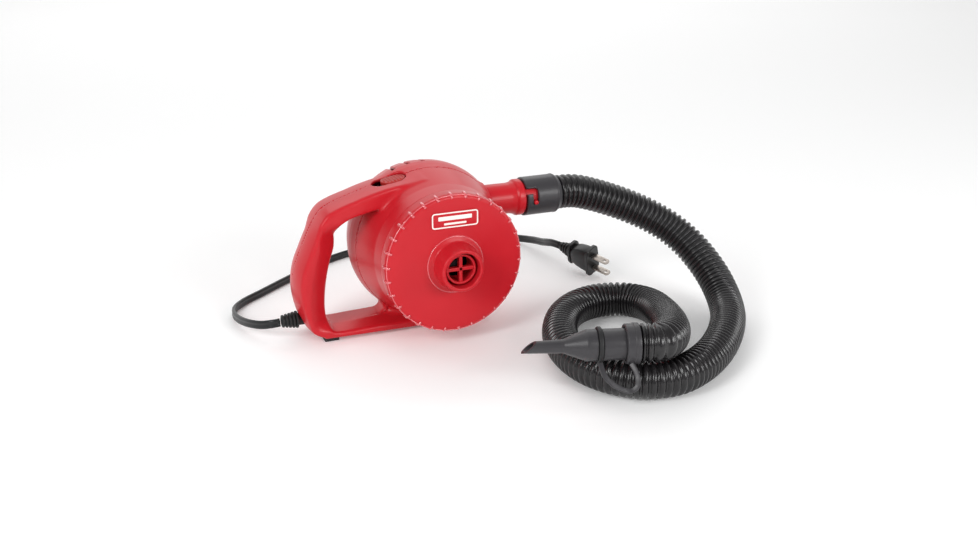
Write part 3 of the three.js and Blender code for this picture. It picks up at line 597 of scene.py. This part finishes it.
def surface_net(field, low, step):
    """Quads of the surface field = 0 on a grid, one point per mixed cell."""
    shape = np.array(field.shape) - 1
    total = np.zeros((*shape, 3))
    count = np.zeros(shape, int)
    crossings = []
    for axis in range(3):
        first = [slice(None)] * 3
        second = [slice(None)] * 3
        first[axis], second[axis] = slice(None, -1), slice(1, None)
        f0, f1 = field[tuple(first)], field[tuple(second)]
        hit = np.argwhere((f0 < 0) != (f1 < 0))
        a, b = f0[tuple(hit.T)], f1[tuple(hit.T)]
        place = hit.astype(float)
        place[:, axis] += a / (a - b)
        others = [k for k in range(3) if k != axis]
        cells = []
        for du, dv in ((0, 0), (-1, 0), (-1, -1), (0, -1)):
            cell = hit.copy()
            cell[:, others[0]] += du
            cell[:, others[1]] += dv
            cells.append(cell)
        inside = np.all([(c >= 0).all(1) & (c < shape).all(1) for c in cells], axis=0)
        for cell in cells:
            keep = (cell >= 0).all(1) & (cell < shape).all(1)
            np.add.at(total, tuple(cell[keep].T), place[keep])
            np.add.at(count, tuple(cell[keep].T), 1)
        flip = (a < 0) ^ (axis == 1)
        crossings.append((np.stack(cells, 1)[inside], flip[inside]))
    used = count > 0
    number = np.full(shape, -1)
    number[used] = np.arange(used.sum())
    points = low + step * total[used] / count[used][:, None]
    faces = []
    for cells, flip in crossings:
        quad = number[cells[..., 0], cells[..., 1], cells[..., 2]]
        quad[flip] = quad[flip][:, ::-1]
        faces.extend(quad.tolist())
    return points, faces


def drawn_in(points, field, rounds=2):
    """Moves points onto the surface along the field's slope."""
    e = 0.05
    for _ in range(rounds):
        x, y, z = points.T
        value = field(x, y, z)
        slope = np.stack([
            field(x + e, y, z) - field(x - e, y, z), field(x, y + e, z) - field(x, y - e, z),
            field(x, y, z + e) - field(x, y, z - e)], 1) / (2 * e)
        size = np.maximum((slope ** 2).sum(1), 0.2)
        points = points - np.clip(value / size, -0.5, 0.5)[:, None] * slope
    return points


def netted(field, low, high, step):
    """Points and faces of the surface field = 0 between two corners."""
    axes = [np.arange(a, b, step) for a, b in zip(low, high)]
    x, y, z = np.meshgrid(*axes, indexing="ij")
    points, faces = surface_net(field(x, y, z), np.array(low), step)
    return drawn_in(points, field), faces


def housing_half(name, node, side):
    """A half shell; its points beside the seam are set straight onto it."""
    step = 1.0
    low = (-117.0, -46.0 if side < 0 else -1.0, -1.0)
    high = (67.0, 1.0 if side < 0 else 54.0, 134.0)

    def field(x, y, z):
        return half_field(x, y, z, side)

    points, faces = netted(field, low, high, step)
    points[np.abs(points[:, 1]) < 0.6 * step, 1] = side * SEAM
    piece = mesh_piece(name, points, faces, red, "pump_body", slot="red_plastic", replaces=[node])
    return sharpen(piece, 50)


housing_half("front_shell", "front_housing", -1)
housing_half("rear_shell", "rear_housing", 1)


# ---------- fan cover, grille and plate ----------
def turned_bead(radius, y, size, around):
    """A thin round bead about the drum's axis."""
    turn = np.linspace(0, 2 * math.pi, 12, endpoint=False)
    bead = [(radius + size * math.cos(a), y + size * math.sin(a)) for a in turn]
    return lathe(bead, around, ALONG_Y), ring_faces(len(bead), around, loop=True)


def grip_bars():
    """Short rounded bars with tapered ends, laid over the cover's rim."""
    over = [(COVER_R - 0.1, 7.4), (COVER_R + 0.25, 6.0), (COVER_R + 0.25, 4.0), (COVER_R - 0.2, 1.6),
            (COVER_R - 1.3, 0.2), (COVER_R - 2.8, -0.35), (COVER_R - 3.6, 0.3)]
    bar, _ = catmull([(r, COVER_FACE_Y + behind, 0) for r, behind in over], 0.7)
    turn = np.linspace(0, 2 * math.pi, 12, endpoint=False)
    section = [(0.65 * math.cos(a), math.sin(a)) for a in turn]
    ends = np.clip(2.2 * np.sin(np.linspace(0.12, math.pi - 0.12, len(bar))), 0.25, 1)
    points = swept(bar, section, scale=ends)
    bars = []
    for number in range(GRIP_RIBS):
        angle = 2 * math.pi * (number + RIB_PHASE) / GRIP_RIBS
        placed = np.stack([points[:, 0] * math.cos(angle) - points[:, 2] * math.sin(angle), points[:, 1],
                           AXIS_Z + points[:, 0] * math.sin(angle) + points[:, 2] * math.cos(angle)], 1)
        bars.append((placed, ring_faces(len(bar), len(section))))
    return bars


def fan_cover():
    """A turned cover with its collar, and the bars and beads that stand on it."""
    back = COVER_BACK_Y - 0.3
    inner_r = COVER_R - 3.2
    profile = rounded([
        (COLLAR_BORE_R, -60), (COLLAR_BORE_R, COLLAR_TIP_Y), (COLLAR_TIP_R, COLLAR_TIP_Y),
        (COLLAR_BASE_R - 0.6, -60.4), (COLLAR_BEAD_R - 0.2, COVER_FACE_Y - 1.4),
        (COLLAR_BEAD_R + 0.5, COVER_FACE_Y - 0.4), (46, COVER_FACE_Y - 0.25),
        (COVER_R - 2.6, COVER_FACE_Y), (COVER_R - 0.7, COVER_FACE_Y + 1.1), (COVER_R, COVER_FACE_Y + 3.2),
        (COVER_R - 0.1, back), (inner_r, back), (inner_r, -55), (COLLAR_BORE_R, -55),
        (COLLAR_BORE_R, -59.5)], 1.5, 5)
    turned("fan_cover_shell", profile, 180, ALONG_Y, red, "pump_body", closed=True, slot="red_plastic",
           replaces=["fan_cover"])
    rim_bead = turned_bead(COVER_R - 0.8, COVER_FACE_Y + 1.0, 0.45, 180)
    collar_bead = turned_bead(COLLAR_BEAD_R, COVER_FACE_Y - 0.9, 0.5, 96)
    # The bars and the beads wear the paler pink, a painted highlight on top of their gloss
    mesh_piece("cover_ribs", *combined(rim_bead, collar_bead, *grip_bars()), glossy_red_painted_highlight, "pump_body",
               slot="red_plastic", replaces=["fan_cover"])


def grille():
    """A ring inside the collar with two crossed arms."""
    profile = rounded([(10.2, -56), (10.2, -71), (12, -71), (12, -61), (13.4, -61), (13.4, -55.6),
                       (10.2, -55.6), (10.2, -55.8)], 0.5)
    ring = (lathe(profile, 72, ALONG_Y), ring_faces(len(profile), 72, loop=True))
    long, half = 10.9, 1.35
    arms = [block((-x, -70.2, AXIS_Z - z), (x, -66, AXIS_Z + z)) for x, z in ((long, half), (half, long))]
    points, faces = combined(ring, *arms)
    piece = mesh_piece("grille_ring", points, faces, red, "pump_body", slot="red_plastic",
                       replaces=["intake_grille"])
    sharpen(modified(piece, "BEVEL", width=0.3 * MM, segments=3, limit_method="ANGLE"), 40)


PLATE_AT = (0.0, AXIS_Z + 36)
PLATE_SIZE = (38.0, 13.0)


def name_plate():
    """A blank plate: a printed border and two plain bars, just proud of its face."""
    front = COVER_FACE_Y - 1.1
    print_y = (front - 0.08, front + 0.1)
    panel = prism(rounded_rectangle(PLATE_AT, *PLATE_SIZE, 2.6), COVER_FACE_Y - 0.3, front)
    piece = mesh_piece("plate_panel", *panel, red, "pump_body", slot="red_plastic",
                       replaces=["name_plate"])
    sharpen(modified(piece, "BEVEL", width=0.25 * MM, segments=3, limit_method="ANGLE"), 40)
    width, height = PLATE_SIZE
    border = prism(rounded_rectangle(PLATE_AT, width - 0.8, height - 0.8, 2.2), *print_y,
                   rounded_rectangle(PLATE_AT, width - 2.8, height - 2.8, 1.3))
    bars = [prism(rounded_rectangle((PLATE_AT[0], PLATE_AT[1] + up), wide, high, 0.5), *print_y)
            for up, wide, high in ((1.5, 27, 3.2), (-2.9, 18, 1.6))]
    mesh_piece("plate_print", *combined(border, *bars), white, "pump_body", slot="white_plastic",
               replaces=["name_plate"], smooth=False)


fan_cover()
grille()
name_plate()


# ---------- outlet spout, cuff ----------
def outlet():
    """The spout with its collar, its spigot and two bayonet pins."""
    pipe = rounded([
        (10.6, 40), (OUTLET_R, 40), (OUTLET_R, 52), (OUTLET_R - 0.2, 68), (OUTLET_R + 0.6, 72),
        (14.9, 73.6), (14.9, 78.6), (13.4, 79.6), (OUTLET_R, 79.8), (OUTLET_R, 97.5), (11.6, 98),
        (10.6, 97.4), (10.6, 60), (10.6, 41)], 0.8)
    parts = [(lathe(pipe, 96, AT_OUTLET), ring_faces(len(pipe), 96, loop=True))]
    pin = rounded([(PIN_R, OUTLET_R - 1), (PIN_R, CUFF_R + 0.9), (0.05, CUFF_R + 1.2)], 0.9)
    for turn in (PIN_ANGLE, PIN_ANGLE + 180):
        place = (Matrix.Translation((PIN_X, 0, OUTLET_Z)) @ Matrix.Rotation(math.radians(-turn), 4, "X")
                 @ Matrix.Rotation(-math.pi / 2, 4, "Z"))
        parts.append((lathe(pin, 24, place), ring_faces(len(pin), 24)))
    sharpen(mesh_piece("outlet_pipe", *combined(*parts), red, "pump_body", slot="red_plastic",
                       replaces=["outlet_spout"]))


def cuff_field(x, y, z):
    """The hose cuff: a tube with a tapered end and two bent slots."""
    radius = np.hypot(y, z - OUTLET_Z)
    taper = np.clip((x - CUFF_END_X + CUFF_TAPER) / CUFF_TAPER, 0, 1)
    bead = np.exp(-((x - CUFF_END_X + CUFF_TAPER + 0.8) / 0.7) ** 2)
    skin = CUFF_R - 1.9 * taper + 0.35 * bead
    bore = np.where(x < SPIGOT_END_X + 2, OUTLET_R + 0.5, HOSE_BORE_R)
    ends = np.maximum(CUFF_START_X + 0.2 - x, x - CUFF_END_X)
    tube = smooth_max(smooth_max(radius - skin, ends, 1.0), bore - radius, 0.7)
    turn = np.degrees(np.arctan2(z - OUTLET_Z, -y)) - PIN_ANGLE
    arc = (np.mod(turn + 90, 180) - 90) * math.radians(CUFF_R)
    entry = math.radians(TWIST) * CUFF_R
    way_in = np.hypot(np.maximum(x - PIN_X, 0), arc - entry) - 2.5
    leg = np.hypot(x - PIN_X, arc - np.clip(arc, 0, entry)) - 2.3
    return smooth_max(tube, -np.minimum(way_in, leg), 0.7)


def cuff():
    """The bayonet cuff on the hose's near end."""
    reach = CUFF_R + 1.5
    points, faces = netted(cuff_field, (CUFF_START_X - 1, -reach, OUTLET_Z - reach),
                           (CUFF_END_X + 1, reach, OUTLET_Z + reach), 0.6)
    sharpen(mesh_piece("bayonet_cuff", points, faces, cuff_grey, "cuff", slot="dark_plastic",
                       replaces=["hose_cuff"]), 50)


outlet()
cuff()


# ---------- nozzle with its seal, strap and the ring on the hose's end ----------
SLANT_AT = (76.5, 0, 1.0)     # a point on the slanted mouth, along the nozzle's own X
SLANT = math.radians(38)


def nozzle():
    """A hollow tapered nozzle, cut off at a slant."""
    profile = rounded([
        (9.2, 5), (9.2, 4), (11.2, 4), (11.2, 26.4), (10.6, 26.4), (10.6, 30.4), (11.3, 30.4), (11.3, 37.5),
        (4.9, 53.5), (4.0, 83.5), (2.7, 83.5), (3.2, 53), (9.2, 37), (9.2, 6)], 0.7)
    piece = mesh_piece("nozzle_shell", lathe(profile, 72, Matrix.Identity(4)),
                       ring_faces(len(profile), 72, loop=True), cuff_grey, None, slot="dark_plastic",
                       replaces=["nozzle"])
    shape = bmesh.new()
    shape.from_mesh(piece.data)
    normal = Vector((math.sin(SLANT), 0, math.cos(SLANT)))
    cut = bmesh.ops.bisect_plane(
        shape, geom=shape.verts[:] + shape.edges[:] + shape.faces[:], plane_co=Vector(SLANT_AT) * MM,
        plane_no=normal, clear_outer=True)
    edges = [e for e in cut["geom_cut"] if isinstance(e, bmesh.types.BMEdge)]
    bmesh.ops.bridge_loops(shape, edges=edges)
    bmesh.ops.recalc_face_normals(shape, faces=shape.faces)
    shape.transform(Matrix.Translation(Vector(HOSE_ROUTE[-1]) * MM) @ Matrix.Rotation(NOZZLE_TURN, 4, "Z"))
    shape.to_mesh(piece.data)
    shape.free()
    piece.data.polygons.foreach_set("use_smooth", [True] * len(piece.data.polygons))
    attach(piece, "nozzle_end")
    sharpen(piece)


TETHER_ROUTE = [
    (28.6, 7.4, -10.2), (27, 13.5, -16.2), (22.4, 17, -21.4), (15.5, 19, -25.4), (8.6, 19.6, -26.8),
    (4.4, 19.4, -23.8), (3.9, 17, -18.4), (4.8, 13.2, -14.4), (7.0, 9.4, -11.0),
]


def tether():
    """The flat strap that keeps the nozzle with the hose."""
    path, _ = catmull(TETHER_ROUTE, 1.0)
    section = rounded_rectangle((0, 0), 1.4, 3.7, 0.5, 3)
    local = swept(path, section, up=(1, 0, 0))
    points = [AT_HOSE_END @ Vector(p) for p in local]
    piece = mesh_piece("strap", points, ring_faces(len(path), len(section)), cuff_grey, None,
                       slot="dark_plastic", replaces=["nozzle_tether"])
    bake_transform(sharpen(piece))


def seal():
    """The rubber ring in the nozzle's groove."""
    profile = [(10.7, 28.4), (10.7, 26.8), (12.8, 26.8), (12.8, 30), (10.7, 30), (10.7, 28.8)]
    turned("seal", rounded(profile, 0.9), 72, AT_HOSE_END, rubber, "nozzle_end", closed=True,
           slot="black_rubber", replaces=["nozzle_seal_ring"])


def hose_end_ring():
    """The stepped ring into which the nozzle plugs."""
    profile = [(11.8, 4), (11.8, 0.8), (14.7, 0.8), (14.7, 4.6), (14.2, 5), (14.2, 10), (13.4, 10.6),
               (12.2, 10.6), (11.8, 10), (11.8, 5)]
    turned("hose_end_ring", rounded(profile, 0.6), 96, AT_HOSE_END, cuff_grey, "pump_body", closed=True,
           slot="dark_plastic", replaces=["hose_end_cuff"])


nozzle()
seal()
hose_end_ring()
tether()


# ---------- strain relief, plug ----------
AT_GLAND = Matrix.Translation((-101, 0, GLAND_Z)) @ Matrix.Rotation(math.pi, 4, "Z")


def strain_relief():
    """A rubber sleeve with five ribs that get smaller towards the lead."""
    relief = [(0.5, 0.3), (6.3, 0.3), (6.3, 2.2), (4.9, 2.4)]
    for rib in range(5):
        start, size = 10.4 + rib * 2.7, 6.9 - rib * 0.45
        core = 4.8 - rib * 0.2
        relief += [(core, start - 0.2), (size, start), (size - 0.15, start + 1.5), (core - 0.1, start + 1.7)]
    relief += [(3.9, 23), (0.5, 23.3)]
    turned("lead_relief", rounded(relief, 0.35, 3), 48, AT_GLAND, rubber, "pump_body", slot="black_rubber",
           replaces=["strain_relief"])


AT_PLUG = Matrix.Translation(PLUG_AT) @ Matrix.Rotation(PLUG_TURN[2], 4, "Z") @ Matrix.Rotation(
    PLUG_TURN[1], 4, "Y") @ Matrix.Rotation(PLUG_TURN[0], 4, "X")


def plug():
    """A moulded plug: a face plate, a bellied body, a finger guard and a ribbed tail."""
    face = lofted([(-3.6, 7.4, 13.4), (-3.3, 8, 14), (-0.5, 8.2, 14.2), (0, 7.7, 13.7)], AT_PLUG, 48, 5)
    belly = lofted([(-22.5, 6, 7.4), (-20, 7, 8.6), (-16, 7.7, 10.2), (-10, 8, 11.6), (-5, 8, 12.1),
                    (-3.2, 7.8, 12.0)], AT_PLUG, 48, 3.2)
    guard = lofted([(-24.6, 6.6, 10), (-24.3, 7.2, 10.8), (-22, 7.4, 11), (-21.6, 6.8, 10.4)],
                   AT_PLUG, 48, 3.4)
    stations = []
    for rib in range(4):
        start, share = -25.6 - rib * 3.3, 1 - rib * 0.12
        stations += [(start + 0.9, 4.4 * share, 5.2 * share), (start + 0.5, 5.6 * share, 6.8 * share),
                     (start - 1.1, 5.5 * share, 6.6 * share), (start - 1.5, 4.3 * share, 5.1 * share)]
    stations.append((-38.5, 2.6, 3.6))
    tail = lofted(stations, AT_PLUG, 40, 3)
    piece = mesh_piece("plug_moulding", *combined(face, belly, guard, tail), cord_black, "pump_body",
                       slot="black_plastic", replaces=["plug_body"])
    sharpen(piece, 40)


def blade(name, node, side):
    """A flat blade with rounded corners at its tip and a hole."""
    half, tip, root, corner = 3.17, 17.8, 0.3, 2.6
    hole_x, hole_r = 13.6, 1.5
    outline = [(root, -half), (6, -half), (10, -half)]
    outline += [(tip - corner + corner * math.sin(a),
                 -math.copysign(half - corner, math.cos(a)) - corner * math.cos(a))
                for a in np.linspace(0.02, math.pi - 0.02, 15)]
    outline += [(10, half), (6, half), (root, half)]
    hole = []
    for x, y in outline:
        turn = math.atan2(y, x - hole_x)
        hole.append((hole_x + hole_r * math.cos(turn), hole_r * math.sin(turn)))
    points, faces = prism(outline, -0.75, 0.75, hole)
    place = AT_PLUG @ Matrix.Translation((0, 0, side * BLADE_GAP / 2))
    points = [place @ Vector((x, z, y)) for x, y, z in points]
    piece = mesh_piece(name, points, faces, nickel, "pump_body", slot="nickel", replaces=[node])
    sharpen(modified(piece, "BEVEL", width=0.2 * MM, segments=2, limit_method="ANGLE"), 40)


strain_relief()
plug()
blade("blade_1", "plug_blade_1", -1)
blade("blade_2", "plug_blade_2", 1)
hose_length = hose()
lead_length = lead()


# ---------- switch, feet, screws ----------
def slider_field(u, v, w):
    """The thumb pad in the switch's own frame: rounded ends, a low crown and fine cross ribs."""
    flat = np.hypot(np.maximum(np.abs(u - 3.5) - 2.0, 0), v) - 8.0
    rib = ease(np.cos((u - 3.5) * 2 * math.pi / 2.6), 0.0, 0.8)
    rib = rib * ease(-flat, 1.2, 1.8) * ease(-np.abs(u - 3.5), -8.4, -7.8)
    top = 0.5 - 0.008 * v * v + 0.6 * rib
    pad = smooth_max(smooth_max(flat, w - top, 0.8), -2.8 - w, 0.3)
    stem = np.maximum(np.maximum(np.abs(u - 3) - 2.4, np.abs(v) - 2.6), np.maximum(w + 2, -7.6 - w))
    return np.minimum(pad, stem)


def thumb_pad():
    """The slider, set on the handle's sloping top."""
    points, faces = netted(slider_field, (-7.5, -9, -8.5), (14.5, 9, 2.6), 0.4)
    place = Matrix.Translation((SWITCH_AT[0], 0, SWITCH_AT[1])) @ Matrix.Rotation(-SWITCH_TILT, 4, "Y")
    piece = mesh_piece("thumb_pad", [place @ Vector(p) for p in points], faces, orange, "slider",
                       slot="orange_plastic", replaces=["switch_slider"])
    sharpen(piece, 50)


def feet():
    """Two flat rubber pads under the base."""
    for node, x0, x1 in (("foot_handle", -93.5, -82), ("foot_drum", -6, 30)):
        foot = mesh_piece(node + "_pad", *block((x0, -15, 0), (x1, 15, 2.6)), rubber, "pump_body",
                          slot="black_rubber", replaces=[node])
        sharpen(modified(foot, "BEVEL", width=0.6 * MM, segments=3), 40)


def screw_field(x, y, z):
    """A screw's pan head with a cross recess, facing +Y."""
    radius = np.hypot(x, z)
    head = smooth_max(radius - 3.5, np.maximum(y + radius ** 2 * 0.05, -2.5 - y), 0.5)
    width, length = 0.45, 1.9
    upright = np.maximum(np.abs(x) - width, np.abs(z) - length)
    level = np.maximum(np.abs(z) - width, np.abs(x) - length)
    return smooth_max(head, -np.maximum(np.minimum(upright, level), -1.3 - y), 0.2)


def screws():
    """The four housing screws: two short ones in the handle and two long ones in the drum."""
    head_points, head_faces = netted(screw_field, (-4.2, -3, -4.2), (4.2, 0.7, 4.2), 0.3)
    for number, (sx, sz, head) in enumerate(SCREWS):
        tip = -10 if number < 2 else -12
        place = Matrix.Translation((sx, 0, sz)) @ Matrix.Rotation(math.pi / 2, 4, "Z")
        shank = (lathe([(1.5, tip), (1.5, head - 2)], 16, place), ring_faces(2, 16))
        points, faces = combined((head_points + np.array([sx, head, sz]), head_faces), shank)
        sharpen(mesh_piece(f"screw_{number + 1}", points, faces, steel, "pump_body", slot="steel",
                           replaces=[f"housing_screw_{number + 1}"]), 40)


thumb_pad()
feet()
screws()


# ---------- floor and light ----------
def studio_floor():
    """A plain pale floor, whose paint gives off a little light so that it stays nearly white."""
    mesh = bpy.data.meshes.new("floor")
    mesh.from_pydata([(-6, -6, 0), (6, -6, 0), (6, 6, 0), (-6, 6, 0)], [], [(0, 1, 2, 3)])
    paint = bpy.data.materials.new("floor_paint")
    paint.use_nodes = True
    inputs = paint.node_tree.nodes["Principled BSDF"].inputs
    inputs["Base Color"].default_value = (0.92, 0.92, 0.92, 1)
    inputs["Roughness"].default_value = 0.9
    inputs["Emission Color"].default_value = (1, 1, 1, 1)
    inputs["Emission Strength"].default_value = 0.12
    mesh.materials.append(paint)
    floor = bpy.data.objects.new("floor", mesh)
    bpy.context.collection.objects.link(floor)


def softbox(name, at, aim, width, height, watts):
    """A rectangular light; its place, its aim and its size are in metres."""
    light = bpy.data.lights.new(name, "AREA")
    light.shape = "RECTANGLE"
    light.size = width
    light.size_y = height
    light.energy = watts
    lamp = bpy.data.objects.new(name, light)
    lamp.location = at
    lamp.rotation_euler = (Vector(aim) - Vector(at)).to_track_quat("-Z", "Y").to_euler()
    bpy.context.collection.objects.link(lamp)


CENTRE = (0.03, -0.02, 0.05)
studio_floor()
softbox("top_light", (0.0, 0.25, 1.3), CENTRE, 1.2, 0.8, 2.5)
softbox("left_light", (-1.1, -0.7, 0.8), CENTRE, 0.45, 0.6, 10)
softbox("right_light", (1.3, -0.9, 0.45), CENTRE, 0.4, 0.6, 4)
softbox("back_light", (0.6, 2.0, 1.7), (0.6, 1.9, 0), 3.0, 1.6, 26)
softbox("front_light", (0.6, -1.5, 0.68), CENTRE, 0.7, 0.5, 11)


WORLD_DARK = 0.33
WORLD_PALE = 1.15


def studio_world():
    """Pale walls behind and beside the table, darker overhead and behind the camera."""
    world = bpy.data.worlds.new("world")
    world.use_nodes = True
    nodes, links = world.node_tree.nodes, world.node_tree.links
    background = nodes["Background"]
    place = nodes.new("ShaderNodeTexCoord")
    split = nodes.new("ShaderNodeSeparateXYZ")
    links.new(place.outputs["Generated"], split.inputs["Vector"])
    behind = nodes.new("ShaderNodeMapRange")
    behind.inputs["From Min"].default_value = -0.35
    behind.inputs["From Max"].default_value = 0.75
    links.new(split.outputs["Y"], behind.inputs["Value"])
    low = nodes.new("ShaderNodeMapRange")
    low.inputs["From Min"].default_value = 0.55
    low.inputs["From Max"].default_value = 0.3
    links.new(split.outputs["Z"], low.inputs["Value"])
    both = nodes.new("ShaderNodeMath")
    both.operation = "MULTIPLY"
    links.new(behind.outputs["Result"], both.inputs[0])
    links.new(low.outputs["Result"], both.inputs[1])
    strength = nodes.new("ShaderNodeMapRange")
    strength.inputs["To Min"].default_value = WORLD_DARK
    strength.inputs["To Max"].default_value = WORLD_PALE
    links.new(both.outputs["Value"], strength.inputs["Value"])
    links.new(strength.outputs["Result"], background.inputs["Strength"])
    background.inputs["Color"].default_value = (1, 1, 1, 1)
    bpy.context.scene.world = world


studio_world()
